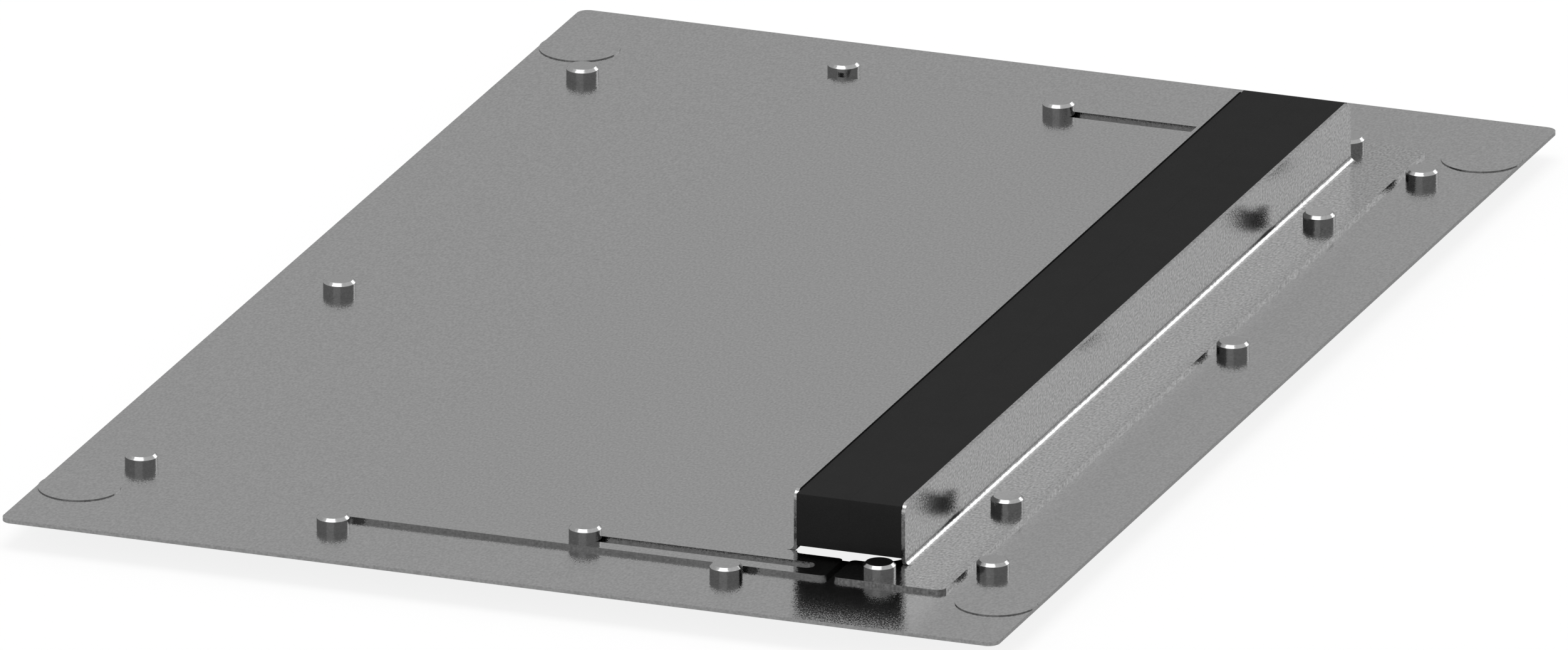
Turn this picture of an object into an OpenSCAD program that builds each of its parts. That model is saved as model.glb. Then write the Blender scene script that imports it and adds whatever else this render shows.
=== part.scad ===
// Roof plate of an electrical enclosure, with a sliding cable entry.
// A flat base plate carries two folded plates. A strip of soft foam is stuck to each
// upright flange, and the two strips close on the cables that run between them.
// The wide plate slides sideways on two clamping screws; the narrow one is screwed down.
//
// X runs across the plate, Y along it and Z up. The origin is the middle of the plane on
// which the seal sits, under the base plate.

/* [Base plate] */
// Width of the base plate, along X
base_w = 537; // [531:1:560]
// Length of the base plate, along Y
base_d = 837; // [832:1:900]
// Thickness of the base plate
base_t = 2; // [1.5:0.5:3]
// Corner radius of the base plate
base_r = 6; // [2:0.5:12]

/* [Cable gap] */
// Distance from the base plate's right edge to the line where the foam strips meet
seam_inset = 111.8; // [109:0.2:116]
// How far the cut-out reaches past the fixed flange's face
cut_lap = 0.5; // [0:0.5:4]
// Clear space left between the cut-out and the open sliding flange
cut_margin = 0.8; // [0.5:0.1:3]
// Gap between the plates' tabs and the ends of the cut-out
cut_end_gap = 2.4; // [0.5:0.1:8]
// Corner radius of the cut-out
cut_r = 28; // [4:1:40]

/* [Folded plates] */
// Thickness of both folded plates
sheet_t = 2; // [1.5:0.5:3]
// Gap between the heads of the end screws and the ends of both folded plates
sheet_gap = 3.2; // [1:0.1:6]
// Width of the sliding plate, from its left edge to its flange's face
sliding_w = 236.9; // [225:0.1:238]
// Width of the fixed plate, from its flange's face to its right edge
fixed_w = 33.5; // [32:0.5:36]
// Inner radius of the bends
bend_r = 3; // [1:0.5:3]
// Height of the flanges above the base plate
flange_h = 34; // [33:0.5:42]
// Gap between the sliding plate's tabs and the ends of its flange
sliding_relief = 3.7; // [1:0.1:6]
// Gap between the fixed plate's tabs and the ends of its flange
fixed_relief = 1.8; // [1:0.1:6]
// Radius of the flanges' upper corners
flange_r = 5; // [2:0.5:8]
// Depth of the tabs at both ends, along Y
tab_d = 27.8; // [26:0.2:29]
// Radius of the plates' outer corners
sheet_r = 5; // [2:0.5:8]
// Radius of the tabs' corners
tab_r = 3; // [1:0.5:6]
// Width of the slits that free the ends of the flanges from the flat
slit_w = 0.5; // [0.3:0.1:0.8]
// How far those slits run past the bend into the flat
slit_cut = 0.5; // [0.5:0.5:3]
// Gap from the seam to the end of the sliding plate's tabs
sliding_tab_gap = 1.9; // [1:0.1:3]
// Gap from the seam to the end of the fixed plate's tabs
fixed_tab_gap = 2.2; // [1:0.1:4]

/* [Slide] */
// Travel of the sliding plate from closed to fully open
slide_travel = 110; // [60:1:112]
// Width of the slots
slot_w = 8.7; // [8.7:0.1:10]
// Length of slot left over when the plate is fully open
slot_spare = 9.3; // [1:0.1:12]
// Distance from the sliding plate's ends to the middle of the slots
slot_inset = 12.7; // [11:0.1:14]
// Distance from the seam to the clamping screws
slide_screw_x = 135.7; // [134:0.1:138]

/* [Foam strips] */
// Width of each foam strip, along X
foam_w = 28.3; // [25:0.1:30]
// Height of each foam strip
foam_h = 28; // [24:0.5:28]
// Gap between the plates' tabs and the ends of the foam strips
foam_end_gap = 1.9; // [0.5:0.1:6]
// Height of the foam above the bends
foam_lift = 0.1; // [0.1:0.1:1]

/* [Screws and nuts] */
// Diameter of the screw heads
head_d = 16.8; // [14:0.2:18]
// Height of the screw heads
head_h = 6.6; // [5:0.2:9]
// Chamfer on top of the screw heads
head_chamfer = 1.5; // [0.5:0.1:2]
// Thread diameter of the screws
thread_d = 8; // [6:0.5:8]
// Length of the screws below the head, neck and thread together
thread_l = 16; // [14:1:20]
// Diameter of the neck between head and thread
neck_d = 7; // [5.5:0.1:7.4]
// Length of the neck below the head
neck_l = 3.2; // [2.9:0.1:4]
// Chamfer at the tip of the screws
tip_chamfer = 1; // [0.5:0.1:1.5]
// Clearance all round the screws in their holes
hole_clear = 0.5; // [0.3:0.1:1]
// Clearance all round the screws in the nuts
nut_clear = 0.15; // [0.1:0.05:0.3]
// Size of the nuts across their flats
nut_af = 13; // [12:0.5:14]
// Height of the nuts
nut_h = 6.5; // [5:0.5:8]
// Distance from the long edges to the side screws
side_inset = 38.5; // [37:0.5:42]
// Distance from the short edges to the outer screws of each side
side_end_inset = 100.5; // [90:0.5:120]
// Offset along Y of the middle side screws, forward on the left and back on the right
side_stagger = 35; // [0:1:60]
// Distance from the short edges to the end screws
end_inset = 47.7; // [44:0.1:48]
// Distance from the long edges to the end screws
end_side_inset = 162.5; // [140:0.5:180]
// Distance from the seam to the fixed plate's tab screws
tab_screw_x = 22.8; // [18:0.2:24]
// Distance from the fixed plate's ends to its tab screws
tab_screw_inset = 12.5; // [11:0.1:14]
// Distance from the fixed plate's right edge to its edge screws
edge_screw_inset = 13; // [12:0.5:14]
// Distance from the fixed plate's ends to its edge screws
edge_screw_end_inset = 128.2; // [80:0.2:200]

/* [Corner discs] */
// Diameter of the cover discs
disc_d = 42.2; // [36:0.2:44]
// Thickness of the cover discs
disc_t = 0.5; // [0.3:0.1:1]
// Distance from the short edges to the middle of the discs
disc_inset = 58.2; // [52:0.2:64]

/* [Seal] */
// Distance from the base plate's edges to the seal
seal_inset = 16; // [8:1:20]
// Width of the seal
seal_w = 8; // [6:1:10]
// Thickness of the seal
seal_t = 3; // [2:0.5:5]
// Corner radius of the seal, on its middle line
seal_r = 12; // [8:1:20]

/* [Hidden] */
$fn = 64;
// Overlap of two solids that are joined into one piece
join = 0.01;
// Length by which a cutting tool passes the faces that it cuts
pass = 1;

base_z = seal_t;
sheet_z = base_z + base_t;
sheet_top = sheet_z + sheet_t;
sheet_d = base_d - 2 * (end_inset + head_d / 2 + sheet_gap);
bend_outer = bend_r + sheet_t;
sliding_flange_l = sheet_d - 2 * (tab_d + sliding_relief);
fixed_flange_l = sheet_d - 2 * (tab_d + fixed_relief);
foam_l = sheet_d - 2 * (tab_d + foam_end_gap);
seam_x = base_w / 2 - seam_inset;
sliding_face_x = seam_x - foam_w;
fixed_face_x = seam_x + foam_w;
foam_z = sheet_z + bend_outer + foam_lift;
cut_x0 = sliding_face_x - slide_travel + cut_margin;
cut_x1 = fixed_face_x + cut_lap;
cut_l = sheet_d - 2 * (tab_d + cut_end_gap);
hole_r = thread_d / 2 + hole_clear;

side_x = base_w / 2 - side_inset;
side_y = base_d / 2 - side_end_inset;
end_x = base_w / 2 - end_side_inset;
end_y = base_d / 2 - end_inset;
slot_y = sheet_d / 2 - slot_inset;
tab_screw_y = sheet_d / 2 - tab_screw_inset;
edge_screw_x = fixed_face_x + fixed_w - edge_screw_inset;
edge_screw_y = sheet_d / 2 - edge_screw_end_inset;
disc_x = base_w / 2 - disc_d / 2;
disc_y = base_d / 2 - disc_inset;

frame_points = [
    [-side_x, -side_y], [-side_x, -side_stagger], [-side_x, side_y],
    [side_x, -side_y], [side_x, side_stagger], [side_x, side_y],
    [-end_x, -end_y], [end_x, -end_y], [-end_x, end_y], [end_x, end_y]
];
slide_points = [for (s = [-1, 1]) [seam_x - slide_screw_x, s * slot_y]];
fixed_points = [
    [seam_x + tab_screw_x, -tab_screw_y], [edge_screw_x, -edge_screw_y],
    [edge_screw_x, edge_screw_y], [seam_x + tab_screw_x, tab_screw_y]
];
disc_points = [[-disc_x, -disc_y], [disc_x, -disc_y], [-disc_x, disc_y], [disc_x, disc_y]];

// Flat rectangle from [x0, y0] to [x1, y1], with its left corners rounded by r_left
// and its right corners by r_right; 0 leaves a corner sharp.
module outline(x0, y0, x1, y1, r_left, r_right) {
    translate([x0 + r_left, y0]) square([x1 - x0 - r_left - r_right, y1 - y0]);
    if (r_left > 0) {
        translate([x0, y0 + r_left]) square([r_left, y1 - y0 - 2 * r_left]);
        for (y = [y0 + r_left, y1 - r_left]) translate([x0 + r_left, y]) circle(r_left);
    }
    if (r_right > 0) {
        translate([x1 - r_right, y0 + r_right]) square([r_right, y1 - y0 - 2 * r_right]);
        for (y = [y0 + r_right, y1 - r_right]) translate([x1 - r_right, y]) circle(r_right);
    }
}

// Round-ended slot whose left end's centre is the origin, run apart from its right end's
module slot_outline(run, width) {
    for (x = [0, run]) translate([x, 0]) circle(width / 2);
    translate([0, -width / 2]) square([run, width]);
}

// Holes for the screws at the given points, through every sheet
module screw_holes(points) {
    for (p = points)
        translate([p[0], p[1], base_z - pass])
            cylinder(r = hole_r, h = sheet_top - base_z + 2 * pass);
}

module base_plate() {
    color([0.56, 0.56, 0.56])
    difference() {
        translate([0, 0, base_z]) linear_extrude(base_t) difference() {
            outline(-base_w / 2, -base_d / 2, base_w / 2, base_d / 2, base_r, base_r);
            outline(cut_x0, -cut_l / 2, cut_x1, cut_l / 2, cut_r, cut_r);
        }
        screw_holes(frame_points);
        screw_holes(slide_points);
        screw_holes(fixed_points);
    }
}

// A folded plate with its flange's foam side on X = 0 and its flat reaching to X = width.
// Its tabs run the other way, to X = -tab_reach. The flange is flange_l long, and a slit
// parts each of its ends from the root of the tab there.
module folded_plate(width, tab_reach, flange_l) {
    flat_x = bend_outer + slit_cut;
    tab_y = tab_d - sheet_d / 2;
    root_d = -flange_l / 2 - slit_w - tab_y;
    linear_extrude(sheet_t) {
        outline(flat_x, -sheet_d / 2, width, sheet_d / 2, 0, sheet_r);
        translate([bend_outer, -flange_l / 2]) square([slit_cut + join, flange_l]);
        for (s = [0, 1]) mirror([0, s]) {
            outline(-tab_reach, -sheet_d / 2, flat_x + join, tab_y, tab_r, 0);
            translate([0, tab_y - join]) square([flat_x + join, root_d + join]);
            difference() {
                translate([-root_d, tab_y - join]) square(root_d + join);
                translate([-root_d, tab_y + root_d]) circle(root_d);
            }
        }
    }
    translate([0, flange_l / 2, 0]) rotate([90, 0, 0]) linear_extrude(flange_l)
        translate([bend_outer, bend_outer]) difference() {
            intersection() {
                circle(bend_outer);
                translate([-bend_outer, -bend_outer]) square(bend_outer);
            }
            circle(bend_r);
        }
    rotate([90, 0, 90]) linear_extrude(sheet_t) {
        translate([-flange_l / 2, bend_outer])
            square([flange_l, flange_h - bend_outer - flange_r]);
        translate([flange_r - flange_l / 2, flange_h - flange_r])
            square([flange_l - 2 * flange_r, flange_r]);
        for (s = [-1, 1])
            translate([s * (flange_l / 2 - flange_r), flange_h - flange_r]) circle(flange_r);
    }
}

module sliding_plate() {
    color([0.57, 0.57, 0.57])
    difference() {
        translate([sliding_face_x, 0, sheet_z]) mirror([1, 0, 0])
            folded_plate(sliding_w, foam_w - sliding_tab_gap, sliding_flange_l);
        for (p = slide_points)
            translate([p[0], p[1], sheet_z - pass]) linear_extrude(sheet_t + 2 * pass)
                slot_outline(slide_travel + slot_spare, slot_w);
    }
}

module fixed_plate() {
    color([0.57, 0.57, 0.57])
    difference() {
        translate([fixed_face_x, 0, sheet_z])
            folded_plate(fixed_w, foam_w - fixed_tab_gap, fixed_flange_l);
        screw_holes(fixed_points);
    }
}

module foam_strip(x) {
    color([0.12, 0.12, 0.12])
    translate([x, -foam_l / 2, foam_z]) cube([foam_w, foam_l, foam_h]);
}

module perimeter_seal() {
    x_in = base_w / 2 - seal_inset;
    y_in = base_d / 2 - seal_inset;
    r_out = seal_r + seal_w / 2;
    r_in = seal_r - seal_w / 2;
    color([0.15, 0.15, 0.15])
    linear_extrude(seal_t) difference() {
        outline(-x_in, -y_in, x_in, y_in, r_out, r_out);
        outline(seal_w - x_in, seal_w - y_in, x_in - seal_w, y_in - seal_w, r_in, r_in);
    }
}

// Screw with a plain chamfered head that seats on the height z
module screw(point, z) {
    color([0.50, 0.50, 0.50])
    translate([point[0], point[1], z]) rotate_extrude() polygon([
        [0, -thread_l], [thread_d / 2 - tip_chamfer, -thread_l],
        [thread_d / 2, tip_chamfer - thread_l], [thread_d / 2, -neck_l],
        [neck_d / 2, -neck_l], [neck_d / 2, 0], [head_d / 2, 0],
        [head_d / 2, head_h - head_chamfer], [head_d / 2 - head_chamfer, head_h], [0, head_h]
    ]);
}

// Hexagon nut against the underside of the base plate
module nut(point) {
    color([0.45, 0.45, 0.45])
    translate([point[0], point[1], base_z - nut_h]) difference() {
        cylinder(d = nut_af / cos(30), h = nut_h, $fn = 6);
        translate([0, 0, -pass]) cylinder(r = thread_d / 2 + nut_clear, h = nut_h + 2 * pass);
    }
}

module corner_disc(point) {
    color([0.56, 0.56, 0.56])
    translate([point[0], point[1], sheet_z]) cylinder(d = disc_d, h = disc_t);
}

base_plate();
sliding_plate();
fixed_plate();
foam_strip(sliding_face_x);  // sliding_foam
foam_strip(seam_x);  // fixed_foam
perimeter_seal();
for (i = [0:9])
    screw(frame_points[i], sheet_z);
for (i = [0:1])
    screw(slide_points[i], sheet_top);
for (i = [0:3])
    screw(fixed_points[i], sheet_top);
for (i = [0:1])
    nut(slide_points[i]);
for (i = [0:3])
    nut(fixed_points[i]);
for (i = [0:3])
    corner_disc(disc_points[i]);
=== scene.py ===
# Roof plate of an electrical enclosure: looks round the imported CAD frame.
import math

import bmesh
import bpy
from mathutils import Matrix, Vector, noise


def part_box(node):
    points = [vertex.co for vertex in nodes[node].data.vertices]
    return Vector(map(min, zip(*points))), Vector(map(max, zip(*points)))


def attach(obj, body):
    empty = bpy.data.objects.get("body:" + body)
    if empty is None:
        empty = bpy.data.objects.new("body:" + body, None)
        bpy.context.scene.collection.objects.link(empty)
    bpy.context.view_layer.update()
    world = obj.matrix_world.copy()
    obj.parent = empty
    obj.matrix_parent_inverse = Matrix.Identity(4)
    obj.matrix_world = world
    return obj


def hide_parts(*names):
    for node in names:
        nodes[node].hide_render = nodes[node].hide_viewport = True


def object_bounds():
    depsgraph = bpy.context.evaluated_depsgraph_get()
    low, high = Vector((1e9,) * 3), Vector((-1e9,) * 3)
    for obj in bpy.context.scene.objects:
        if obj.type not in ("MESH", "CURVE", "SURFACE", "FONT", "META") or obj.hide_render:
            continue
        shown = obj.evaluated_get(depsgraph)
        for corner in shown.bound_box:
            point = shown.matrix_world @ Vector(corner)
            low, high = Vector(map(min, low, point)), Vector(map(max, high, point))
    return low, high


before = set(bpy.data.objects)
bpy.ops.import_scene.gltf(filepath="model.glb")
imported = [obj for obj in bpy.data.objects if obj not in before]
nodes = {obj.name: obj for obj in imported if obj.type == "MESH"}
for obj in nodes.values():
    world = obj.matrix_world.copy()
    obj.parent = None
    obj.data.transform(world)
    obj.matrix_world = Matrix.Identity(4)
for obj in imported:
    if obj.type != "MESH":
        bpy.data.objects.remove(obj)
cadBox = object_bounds()

cameraLook = {
    "azimuth": 20.4127,  # degrees, 0 looks along +Y
    "elevation": 19.442,
    "distance": 33.2218,  # far off, because the photo's edges stay parallel
    "aim": (-0.00078, -0.00019, 0.00327),
    "lens": 700.0,
    "sensorHeight": 6.98,
    "clip": (1.0, 200.0),
}


def makeCamera(look):
    data = bpy.data.cameras.new("camera")
    data.sensor_fit = "VERTICAL"
    data.sensor_height = look["sensorHeight"]
    data.lens = look["lens"]
    data.clip_start, data.clip_end = look["clip"]
    a, e = math.radians(look["azimuth"]), math.radians(look["elevation"])
    back = Vector((math.sin(a) * math.cos(e), -math.cos(a) * math.cos(e), math.sin(e)))
    camera = bpy.data.objects.new("camera", data)
    camera.location = Vector(look["aim"]) + back * look["distance"]
    camera.rotation_euler = (-back).to_track_quat("-Z", "Y").to_euler()
    bpy.context.scene.collection.objects.link(camera)
    bpy.context.scene.camera = camera


makeCamera(cameraLook)
bpy.context.scene.view_settings.view_transform = "Standard"
print("camera placed")


def feed(tree, source, target):
    if isinstance(source, bpy.types.NodeSocket):
        tree.links.new(source, target)
    else:
        target.default_value = source


def setInputs(tree, node, **values):
    for name, value in values.items():
        feed(tree, value, node.inputs[name.replace("_", " ")])


# A name in small letters is a setting of the node. One with a capital is an input, which takes
# another node's socket or a plain value
def addNode(tree, kind, **given):
    node = tree.nodes.new(kind)
    for name, value in given.items():
        if name[0].islower():
            setattr(node, name, value)
        else:
            setInputs(tree, node, **{name: value})
    return node


def mathNode(tree, operation, *sources, kind="ShaderNodeMath"):
    node = addNode(tree, kind, operation=operation)
    for slot, source in enumerate(sources):
        feed(tree, source, node.inputs[slot])
    return node.outputs[0]


def vectorNode(tree, operation, *sources):
    return mathNode(tree, operation, *sources, kind="ShaderNodeVectorMath")


def scaled(tree, vector, factor):
    node = addNode(tree, "ShaderNodeVectorMath", operation="SCALE", Scale=factor)
    feed(tree, vector, node.inputs[0])
    return node.outputs[0]


# A group whose inputs are all plain numbers
def newGroup(name, inputs, outputs):
    group = bpy.data.node_groups.new(name, "ShaderNodeTree")
    for label in inputs:
        group.interface.new_socket(label, in_out="INPUT", socket_type="NodeSocketFloat")
    for label, kind in outputs:
        group.interface.new_socket(label, in_out="OUTPUT", socket_type=kind)
    return group, group.nodes.new("NodeGroupInput"), group.nodes.new("NodeGroupOutput")


grainPattern = {
    "speckle": {"Scale": 850.0, "Detail": 0.0},
    "grit": {"Scale": 1500.0, "Detail": 0.0},
    "rolled": (1.0, 0.6, 1.0),  # rolling draws the speckle and the grit out along Y
    "streak": {"Scale": 420.0, "Detail": 3.0, "Roughness": 0.55},
    "streaked": (1.0, 0.02, 1.0),
    "cloud": {"Scale": 14.0, "Detail": 3.0, "Roughness": 0.5},
    "polishShares": (0.5, 0.5),  # of the speckle and the clouds
    "heightShares": (0.7, 0.3),  # of the speckle and the streaks
}


# Rolled sheet: fine speckle, faint rolling streaks along Y, soft cloudy patches, and grit that
# tilts the surface at random from grain to grain, so that it blurs what the sheet reflects
def makeSheetGrain(pattern):
    group, start, end = newGroup(
        "sheetGrain", ["Speckle", "Streak", "Cloud", "Grit"],
        [("Tone", "NodeSocketFloat"), ("Polish", "NodeSocketFloat"), ("Height", "NodeSocketFloat"),
         ("Normal", "NodeSocketVector")],
    )
    place = addNode(group, "ShaderNodeTexCoord").outputs["Object"]
    rolled = addNode(group, "ShaderNodeMapping", Vector=place, Scale=pattern["rolled"])
    streaked = addNode(group, "ShaderNodeMapping", Vector=place, Scale=pattern["streaked"])

    def addNoise(name, spot):
        return addNode(group, "ShaderNodeTexNoise", Vector=spot, **pattern[name])

    speckle = addNoise("speckle", rolled.outputs["Vector"])
    streak = addNoise("streak", streaked.outputs["Vector"])
    cloud = addNoise("cloud", place)
    grit = addNoise("grit", rolled.outputs["Vector"])

    parts = []
    for source, amount in ((speckle, "Speckle"), (streak, "Streak"), (cloud, "Cloud")):
        centred = mathNode(group, "SUBTRACT", source.outputs["Fac"], 0.5)
        parts.append(mathNode(group, "MULTIPLY", centred, start.outputs[amount]))
    tone = mathNode(group, "ADD", mathNode(group, "ADD", parts[0], parts[1]), parts[2])

    def blend(first, second, shares):
        return mathNode(group, "ADD", mathNode(group, "MULTIPLY", first.outputs["Fac"], shares[0]),
                        mathNode(group, "MULTIPLY", second.outputs["Fac"], shares[1]))

    tilt = vectorNode(group, "SUBTRACT", grit.outputs["Color"], (0.5, 0.5, 0.5))
    plain = addNode(group, "ShaderNodeNewGeometry").outputs["Normal"]
    tilted = vectorNode(group, "ADD", plain, scaled(group, tilt, start.outputs["Grit"]))
    setInputs(group, end, Tone=mathNode(group, "ADD", tone, 1.0),
              Polish=blend(speckle, cloud, pattern["polishShares"]),
              Height=blend(speckle, streak, pattern["heightShares"]),
              Normal=vectorNode(group, "NORMALIZE", tilted))
    return group


sheetGrain = makeSheetGrain(grainPattern)

foamPattern = {
    "patch": {"Scale": 60.0, "Detail": 4.0, "Roughness": 0.6},
    # share of the painted shade in the cell hollows
    "pitShadeShare": 0.7,
    "patchShare": 0.5,
    "middle": 0.55,
}


# Cut foam: small open cells with thin walls. The tone is darker in each cell's hollow middle and
# lighter at its walls: painted shade in the pores, with random patches on top
def makeFoamCells(pattern):
    group, start, end = newGroup(
        "foamCells", ["Scale", "Variation"],
        [("Tone", "NodeSocketFloat"), ("Height", "NodeSocketFloat")],
    )
    place = addNode(group, "ShaderNodeTexCoord").outputs["Object"]
    cells = addNode(group, "ShaderNodeTexVoronoi", feature="F1", Vector=place,
                    Scale=start.outputs["Scale"])
    patch = addNode(group, "ShaderNodeTexNoise", Vector=place, **pattern["patch"])
    # painted shade: the tone is lowest in each cell's hollow middle and rises towards its walls
    pitShade = mathNode(group, "MULTIPLY", cells.outputs["Distance"], pattern["pitShadeShare"])
    patches = mathNode(group, "MULTIPLY", patch.outputs["Fac"], pattern["patchShare"])
    centred = mathNode(group, "SUBTRACT", mathNode(group, "ADD", pitShade, patches), pattern["middle"])
    change = mathNode(group, "MULTIPLY", centred, start.outputs["Variation"])
    setInputs(group, end, Tone=mathNode(group, "ADD", change, 1.0),
              Height=cells.outputs["Distance"])
    return group


foamCells = makeFoamCells(foamPattern)


def newMaterial(name):
    material = bpy.data.materials.new(name)
    material.use_nodes = True
    tree = material.node_tree
    return material, tree, tree.nodes["Principled BSDF"]


def spread(tree, value, low, high):
    return addNode(tree, "ShaderNodeMapRange", Value=value, To_Min=low, To_Max=high).outputs[0]


def bumpFrom(tree, height, distance, **more):
    return addNode(tree, "ShaderNodeBump", Height=height, Distance=distance, **more).outputs[0]


sheetFinish = {
    "colour": (0.28, 0.28, 0.28),
    "edgeTint": (0.7, 0.7, 0.7),  # keeps the grazing reflection as dull as the direct one
    "rough": (0.13, 0.16),
    "speckle": 0.45,
    "streak": 0.02,
    "cloud": 0.02,
    "grit": 0.13,
    "depth": 0.000002,
}
# Stronger speckle, since the fixed plate's flat and flange mirror each other and soften it
coarseFinish = {**sheetFinish, "speckle": 1.0, "rough": (0.15, 0.18)}
discFinish = {**sheetFinish, "streak": 0.0, "cloud": 0.03}
turnedFinish = {
    **sheetFinish,
    "rough": (0.15, 0.18),
    "speckle": 0.2,
    "streak": 0.0,
    "cloud": 0.03,
    "grit": 0.08,
    "depth": 0.000003,
    "rings": 2600.0,  # turning marks to the metre of radius
    "ringShare": 0.3,
}
nutFinish = {**turnedFinish, "colour": (0.24, 0.24, 0.24), "rough": (0.2, 0.28)}


# Steel. A turned piece also has marks round its own axis, from the turnRadius attribute
def makeSteel(name, finish):
    material, tree, shader = newMaterial(name)
    grain = addNode(tree, "ShaderNodeGroup", node_tree=sheetGrain, Speckle=finish["speckle"],
                    Streak=finish["streak"], Cloud=finish["cloud"], Grit=finish["grit"])
    height = grain.outputs["Height"]
    if "rings" in finish:
        radius = addNode(tree, "ShaderNodeAttribute", attribute_name="turnRadius").outputs["Fac"]
        turns = mathNode(tree, "MULTIPLY", radius, finish["rings"] * 2 * math.pi)
        rings = mathNode(tree, "MULTIPLY", mathNode(tree, "SINE", turns), finish["ringShare"])
        height = mathNode(tree, "ADD", rings, height)
    setInputs(tree, shader, Base_Color=scaled(tree, finish["colour"], grain.outputs["Tone"]),
              Roughness=spread(tree, grain.outputs["Polish"], *finish["rough"]),
              Normal=bumpFrom(tree, height, finish["depth"], Normal=grain.outputs["Normal"]),
              Metallic=1.0, Specular_Tint=(*finish["edgeTint"], 1.0))
    return material


sheetSteel = makeSteel("sheetSteel", sheetFinish)
coarseSteel = makeSteel("coarseSteel", coarseFinish)
discSteel = makeSteel("discSteel", discFinish)
turnedSteel = makeSteel("turnedSteel", turnedFinish)
nutSteel = makeSteel("nutSteel", nutFinish)

foamFinish = {
    "colour": (0.0275, 0.0275, 0.0275),
    "cellScale": 1400.0,
    "variation": 0.25,
    "cellDepth": 0.00008,
    "cellStrength": 0.5,
    "rough": 0.95,
}
sealFinish = {**foamFinish, "colour": (0.03, 0.03, 0.032), "cellScale": 1800.0}


def makeFoamMaterial(name, finish):
    material, tree, shader = newMaterial(name)
    cells = addNode(tree, "ShaderNodeGroup", node_tree=foamCells, Scale=finish["cellScale"],
                    Variation=finish["variation"])
    bump = bumpFrom(tree, cells.outputs["Height"], finish["cellDepth"],
                    Strength=finish["cellStrength"])
    # the foam's colour carries the painted shade of its cell hollows as well as random patches
    setInputs(tree, shader, Base_Color=scaled(tree, finish["colour"], cells.outputs["Tone"]),
              Roughness=finish["rough"], Specular_IOR_Level=0.0, Normal=bump)
    return material


foamBlack = makeFoamMaterial("foamBlack", foamFinish)
sealBlack = makeFoamMaterial("sealBlack", sealFinish)
print("materials made")


def finishPiece(bm, name, material, body, replaced, smoothAngle):
    mesh = bpy.data.meshes.new(name)
    bm.to_mesh(mesh)
    bm.free()
    mesh.materials.append(material)
    piece = bpy.data.objects.new(name, mesh)
    bpy.context.scene.collection.objects.link(piece)
    for polygon in mesh.polygons:
        polygon.use_smooth = True
    mesh.set_sharp_from_angle(angle=math.radians(smoothAngle))
    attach(piece, body)
    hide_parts(replaced)
    return piece


def cutPlane(bm, place, normal, **more):
    return bmesh.ops.bisect_plane(bm, geom=bm.verts[:] + bm.edges[:] + bm.faces[:],
                                  plane_co=place, plane_no=normal, **more)


sharpEdge = 1.0  # radians that two faces turn by at an edge that gets rounded
roundSteps = 3

foamStrip = {
    "edgeRound": 0.00035,
    "cell": 0.006,  # size of the faces that carry the unevenness
    "unevenness": 0.00006,
    "unevenScale": 45.0,
    "seamReach": 1e-5,  # how near to the seam's plane an edge counts as part of it
    "smoothAngle": 40.0,
}


# A cut foam strip: crisp block with just broken edges and faintly uneven faces
def makeFoamStrip(name, node, body, strip):
    low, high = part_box(node)
    size, centre = high - low, (high + low) / 2
    bm = bmesh.new()
    bmesh.ops.create_cube(bm, size=1.0)
    bmesh.ops.scale(bm, vec=size, verts=bm.verts)
    bmesh.ops.translate(bm, vec=centre, verts=bm.verts)
    for axis in range(3):
        count = max(1, round(size[axis] / strip["cell"]))
        step = size[axis] / count
        for cut in range(1, count):
            place = Vector(centre)
            place[axis] = low[axis] + cut * step
            normal = Vector((0, 0, 0))
            normal[axis] = 1
            cutPlane(bm, place, normal)
    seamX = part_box("fixed_foam")[0].x  # the strips meet edge to edge there
    sharp = [e for e in bm.edges if len(e.link_faces) == 2 and e.calc_face_angle() > sharpEdge
             and not all(abs(v.co.x - seamX) < strip["seamReach"] for v in e.verts)]
    bmesh.ops.bevel(bm, geom=sharp, offset=strip["edgeRound"], segments=roundSteps, profile=0.5,
                    affect="EDGES", material=-1, clamp_overlap=True)
    bm.normal_update()
    for vert in bm.verts:  # inwards only, so the block stays in its CAD box
        dent = noise.noise(vert.co * strip["unevenScale"]) * 0.5 + 0.5
        vert.co -= vert.normal * dent * strip["unevenness"]
    piece = finishPiece(bm, name, foamBlack, body, node, strip["smoothAngle"])
    return piece


makeFoamStrip("slidingFoamStrip", "sliding_foam", "slider", foamStrip)
makeFoamStrip("fixedFoamStrip", "fixed_foam", "base", foamStrip)
print("foam strips made")

rimSeal = {
    "width": 0.008,
    "cornerRadius": 0.016,
    "cornerSteps": 10,
    "round": 0.0009,
    "smoothAngle": 40.0,
}


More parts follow.
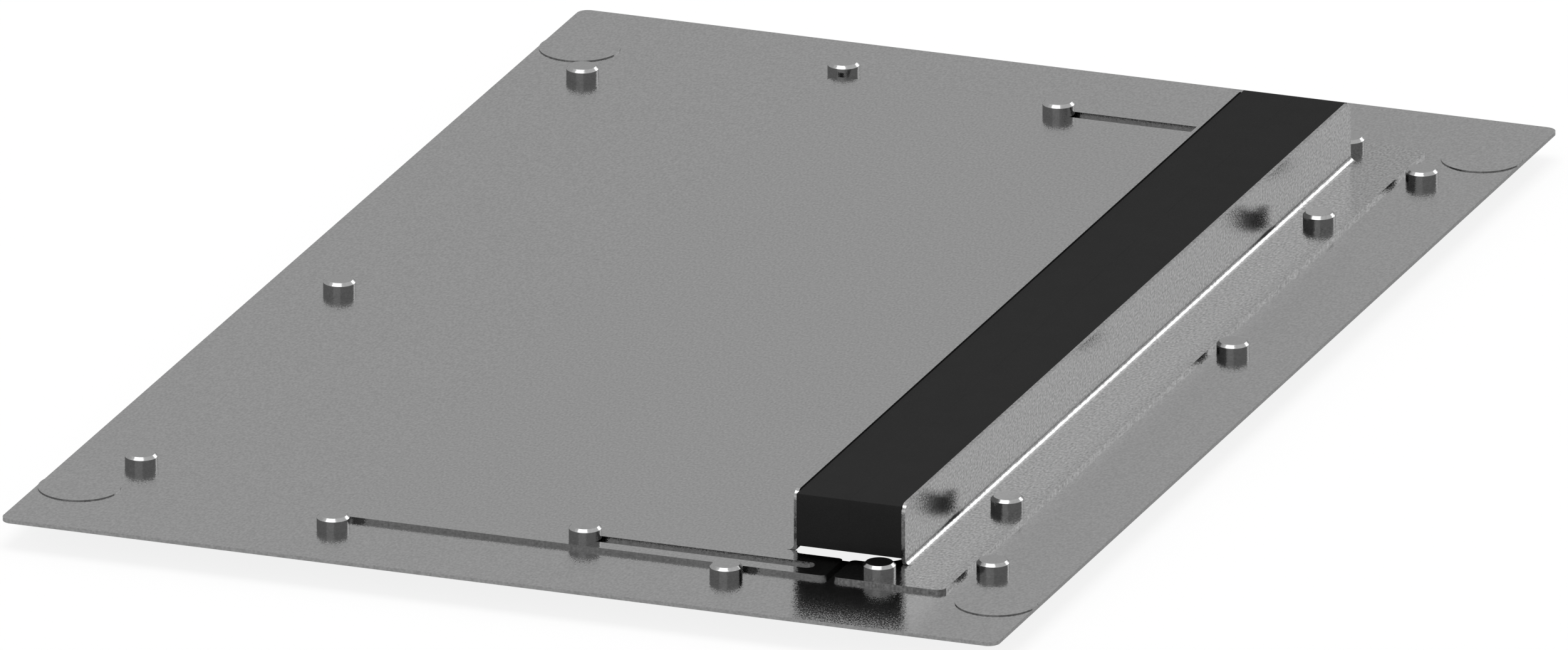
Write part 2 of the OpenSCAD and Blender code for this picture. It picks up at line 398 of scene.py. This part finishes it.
# The seal under the rim: a ring with round corners, softly rounded where it meets the frame
def makeRimSeal(seal):
    low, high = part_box("perimeter_seal")
    bm = bmesh.new()
    bmesh.ops.create_grid(bm, x_segments=1, y_segments=1, size=0.5)
    bmesh.ops.scale(bm, vec=(high.x - low.x, high.y - low.y, 1), verts=bm.verts)
    bmesh.ops.bevel(bm, geom=bm.verts[:], offset=seal["cornerRadius"], segments=seal["cornerSteps"],
                    profile=0.5, affect="VERTICES", material=-1)
    bmesh.ops.translate(bm, vec=(0, 0, high.z), verts=bm.verts)
    bmesh.ops.inset_region(bm, faces=bm.faces[:], thickness=seal["width"], use_boundary=True,
                           use_even_offset=True)
    middle = max(bm.faces, key=lambda f: f.calc_area())
    bmesh.ops.delete(bm, geom=[middle], context="FACES_ONLY")
    made = bmesh.ops.extrude_face_region(bm, geom=bm.faces[:])["geom"]
    lower = [v for v in made if isinstance(v, bmesh.types.BMVert)]
    bmesh.ops.translate(bm, vec=(0, 0, low.z - high.z), verts=lower)
    bmesh.ops.recalc_face_normals(bm, faces=bm.faces)
    flat = [e for e in bm.edges if all(abs(v.co.z - low.z) < 1e-6 for v in e.verts)
            and e.calc_face_angle() > sharpEdge]
    bmesh.ops.bevel(bm, geom=flat, offset=seal["round"], segments=roundSteps, profile=0.5,
                    affect="EDGES", material=-1)
    piece = finishPiece(bm, "rimSeal", sealBlack, "base", "perimeter_seal",
                        seal["smoothAngle"])
    return piece


makeRimSeal(rimSeal)
print("seal made")

screwShape = {
    "headRadius": 0.0084,
    "headHeight": 0.0066,
    "chamfer": 0.0015,
    "edgeBreak": 0.00012,
    "neckRadius": 0.0035,
    "neckLength": 0.0032,
    "threadRadius": 0.004,
    "threadDepth": 0.00061,
    "pitch": 0.00125,
    "rowsPerPitch": 8,
    "ridge": (1.25, 2.6),  # height before the crest is cut off, and slope
    "tipChamfer": 0.001,
    "length": 0.016,
    "steps": 64,
    "smoothAngle": 12.0,
}


# The lathe outline of a screw, from the tip's middle to the head's middle, seat at z = 0
def screwOutline(shape):
    head, chamfer, top = shape["headRadius"], shape["chamfer"], shape["headHeight"]
    back, aside = shape["edgeBreak"] * 0.4, shape["edgeBreak"] * 0.3  # break the chamfer's edges
    tip, root = -shape["length"], shape["threadRadius"] - shape["threadDepth"]
    neck, neckLow = shape["neckRadius"], -shape["neckLength"]
    rowStep = shape["pitch"] / shape["rowsPerPitch"]
    outline = [(0.0, tip), (shape["threadRadius"] - shape["tipChamfer"], tip)]
    rows = int((neckLow - tip) / rowStep)
    outline += [(shape["threadRadius"], tip + rowStep * k) for k in range(1, rows)]
    outline += [(root, neckLow), (neck, neckLow), (neck, 0.0), (head, 0.0),
                (head, top - chamfer - back), (head - aside, top - chamfer + aside),
                (head - chamfer + aside, top - aside), (head - chamfer - back, top), (0.0, top)]
    return outline


# Cuts the thread into the spun shank by moving its rows in and out along a helix
def cutThread(bm, shape):
    tip, top = -shape["length"], -shape["neckLength"]
    root = shape["threadRadius"] - shape["threadDepth"]
    crest, slope = shape["ridge"]
    for vert in bm.verts:
        radius = math.hypot(vert.co.x, vert.co.y)
        if not tip < vert.co.z < top or radius < shape["neckRadius"]:
            continue
        turn = math.atan2(vert.co.y, vert.co.x) / (2 * math.pi)
        phase = (vert.co.z / shape["pitch"] - turn) % 1.0
        ridge = min(1.0, max(0.0, crest - abs(phase - 0.5) * slope))
        lead = shape["threadRadius"] - shape["tipChamfer"] + (vert.co.z - tip)  # the tip's cone
        wanted = min(root + ridge * shape["threadDepth"], lead)
        vert.co.x *= wanted / radius
        vert.co.y *= wanted / radius


def spinOutline(bm, outline, steps):
    verts = [bm.verts.new((r, 0.0, z)) for r, z in outline]
    edges = [bm.edges.new(pair) for pair in zip(verts, verts[1:])]
    bmesh.ops.spin(bm, geom=verts + edges, cent=(0, 0, 0), axis=(0, 0, 1), angle=2 * math.pi,
                   steps=steps, use_merge=True)
    bmesh.ops.remove_doubles(bm, verts=bm.verts, dist=1e-6)
    bmesh.ops.recalc_face_normals(bm, faces=bm.faces)


def markTurnRadius(bm):
    layer = bm.verts.layers.float.new("turnRadius")
    for vert in bm.verts:
        vert[layer] = math.hypot(vert.co.x, vert.co.y)


def makeScrew(name, node, shape):
    low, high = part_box(node)
    centre = (low + high) / 2
    bm = bmesh.new()
    spinOutline(bm, screwOutline(shape), shape["steps"])
    cutThread(bm, shape)
    markTurnRadius(bm)
    seat = high.z - shape["headHeight"]
    bmesh.ops.translate(bm, vec=(centre.x, centre.y, seat), verts=bm.verts)
    finishPiece(bm, name, turnedSteel, "base", node, shape["smoothAngle"])


def makeEach(make, shape, rows):
    for pieceName, nodeName, count in rows:
        for k in range(1, count + 1):
            make(f"{pieceName}{k}", f"{nodeName}_{k}", shape)


screwRows = [("frameScrew", "frame_screw", 10), ("slideScrew", "slide_screw", 2),
             ("fixedScrew", "fixed_screw", 4)]
makeEach(makeScrew, screwShape, screwRows)
print("screws made")

nutShape = {
    "acrossFlats": 0.013,
    "bore": 0.00415,
    "boreChamfer": 0.0004,
    "endShare": 0.97,  # the round end faces' radius as a share of half the width across flats
    "steps": 60,
    "smoothAngle": 25.0,
}


# A hexagon nut: a turned ring with chamfered ends, cut flat on six sides
def makeNut(name, node, shape):
    low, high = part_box(node)
    height = high.z - low.z
    flat, bore, lip = shape["acrossFlats"] / 2, shape["bore"], shape["boreChamfer"]
    end, corner = flat * shape["endShare"], flat / math.cos(math.radians(30))
    drop = (corner - end) * math.tan(math.radians(30))
    outline = [(bore + lip, 0.0), (end, 0.0), (corner, drop), (corner, height - drop),
               (end, height), (bore + lip, height), (bore, height - lip), (bore, lip),
               (bore + lip, 0.0)]
    bm = bmesh.new()
    spinOutline(bm, outline, shape["steps"])
    for side in range(6):
        angle = math.radians(60 * side + 30)
        normal = Vector((math.cos(angle), math.sin(angle), 0))
        cut = cutPlane(bm, normal * flat, normal, clear_outer=True)
        pitShade = [e for e in cut["geom_cut"] if isinstance(e, bmesh.types.BMEdge)]
        bmesh.ops.contextual_create(bm, geom=pitShade)
    bmesh.ops.dissolve_degenerate(bm, dist=1e-6, edges=bm.edges[:])
    bmesh.ops.recalc_face_normals(bm, faces=bm.faces)
    markTurnRadius(bm)
    centre = (low + high) / 2
    bmesh.ops.translate(bm, vec=(centre.x, centre.y, low.z), verts=bm.verts)
    finishPiece(bm, name, nutSteel, "base", node, shape["smoothAngle"])


makeEach(makeNut, nutShape, [("slideNut", "slide_nut", 2), ("fixedNut", "fixed_nut", 4)])
print("nuts made")


def dress(node, material):
    mesh = nodes[node].data
    mesh.materials.clear()
    mesh.materials.append(material)


for node in ("base_plate", "sliding_plate"):
    dress(node, sheetSteel)
dress("fixed_plate", coarseSteel)
for k in range(1, 5):
    dress(f"corner_disc_{k}", discSteel)
print("sheets dressed")

studio = {
    "floorSize": 60.0,
    "floorWhite": 0.86,  # the part of the floor's white that no shadow takes away
    "floorColour": 0.85,
    "floorRough": 0.9,
    "worldForSurfaces": 0.55,
    "lamps": [
        # name, heading from +Y to +X, elevation, distance, width, height, brightness, job
        ("rightBackCard", 23.0, 22.6, 12.0, 7.3, 4.2, 3.45, "reflection"),
        ("frontCard", -162.0, 66.0, 12.0, 9.4, 6.6, 3.0, "reflection"),
        ("lowFrontCard", 180.0, 19.0, 12.0, 11.0, 5.0, 0.44, "reflection"),
        ("topCard", 0.0, 88.0, 14.0, 28.0, 28.0, 0.32, "reflection"),
        ("overheadFill", 0.0, 88.0, 12.0, 8.0, 8.0, 3.9, "fill"),
    ],
}


def seenRay(tree):
    path = addNode(tree, "ShaderNodeLightPath")
    both = mathNode(tree, "MAXIMUM", path.outputs["Is Camera Ray"], path.outputs["Is Glossy Ray"])
    return mathNode(tree, "MAXIMUM", both, path.outputs["Is Transmission Ray"])


def makeWorld(setup):
    world = bpy.data.worlds.new("studio")
    bpy.context.scene.world = world
    world.use_nodes = True
    tree = world.node_tree
    strength = addNode(tree, "ShaderNodeMix", data_type="FLOAT", Factor=seenRay(tree),
                       A=setup["worldForSurfaces"], B=1.0)
    setInputs(tree, tree.nodes["Background"], Color=(1, 1, 1, 1),
              Strength=strength.outputs["Result"])


# White to the camera, and a plain pale floor to whatever it lights or is mirrored in
def makeFloor(setup):
    bm = bmesh.new()
    bmesh.ops.create_grid(bm, x_segments=1, y_segments=1, size=setup["floorSize"] / 2)
    bmesh.ops.translate(bm, vec=(0, 0, cadBox[0].z), verts=bm.verts)
    mesh = bpy.data.meshes.new("floor")
    bm.to_mesh(mesh)
    bm.free()
    floor = bpy.data.objects.new("floor", mesh)
    bpy.context.scene.collection.objects.link(floor)
    material, tree, shader = newMaterial("floorPale")
    colour, white = setup["floorColour"], setup["floorWhite"]
    setInputs(tree, shader, Base_Color=(colour, colour, colour, 1),
              Roughness=setup["floorRough"], Specular_IOR_Level=0.0)
    matt = addNode(tree, "ShaderNodeBsdfDiffuse", Color=(1 - white, 1 - white, 1 - white, 1))
    glow = addNode(tree, "ShaderNodeEmission", Strength=white)
    path = addNode(tree, "ShaderNodeLightPath")
    shown = addNode(tree, "ShaderNodeAddShader")
    mix = addNode(tree, "ShaderNodeMixShader", Fac=path.outputs["Is Camera Ray"])
    for source, target in ((matt, shown.inputs[0]), (glow, shown.inputs[1]),
                           (shader, mix.inputs[1]), (shown, mix.inputs[2]),
                           (mix, tree.nodes["Material Output"].inputs["Surface"])):
        tree.links.new(source.outputs[0], target)
    mesh.materials.append(material)


# A card shows in the metal's reflections, and the fill lights the floor and the foam
def makeLamp(name, heading, elevation, distance, width, height, brightness, job):
    lamp = bpy.data.lights.new(name, "AREA")
    lamp.shape = "RECTANGLE"
    lamp.size, lamp.size_y = width, height
    lamp.energy = brightness * math.pi * width * height
    h, e = math.radians(heading), math.radians(elevation)
    way = Vector((math.sin(h) * math.cos(e), math.cos(h) * math.cos(e), math.sin(e)))
    holder = bpy.data.objects.new(name, lamp)
    holder.location = way * distance
    holder.visible_diffuse = job == "fill"
    holder.visible_glossy = job == "reflection"
    holder.rotation_euler = (-way).to_track_quat("-Z", "Y").to_euler()
    bpy.context.scene.collection.objects.link(holder)


makeWorld(studio)
makeFloor(studio)
for lampRow in studio["lamps"]:
    makeLamp(*lampRow)
print("floor, world and lamps made")
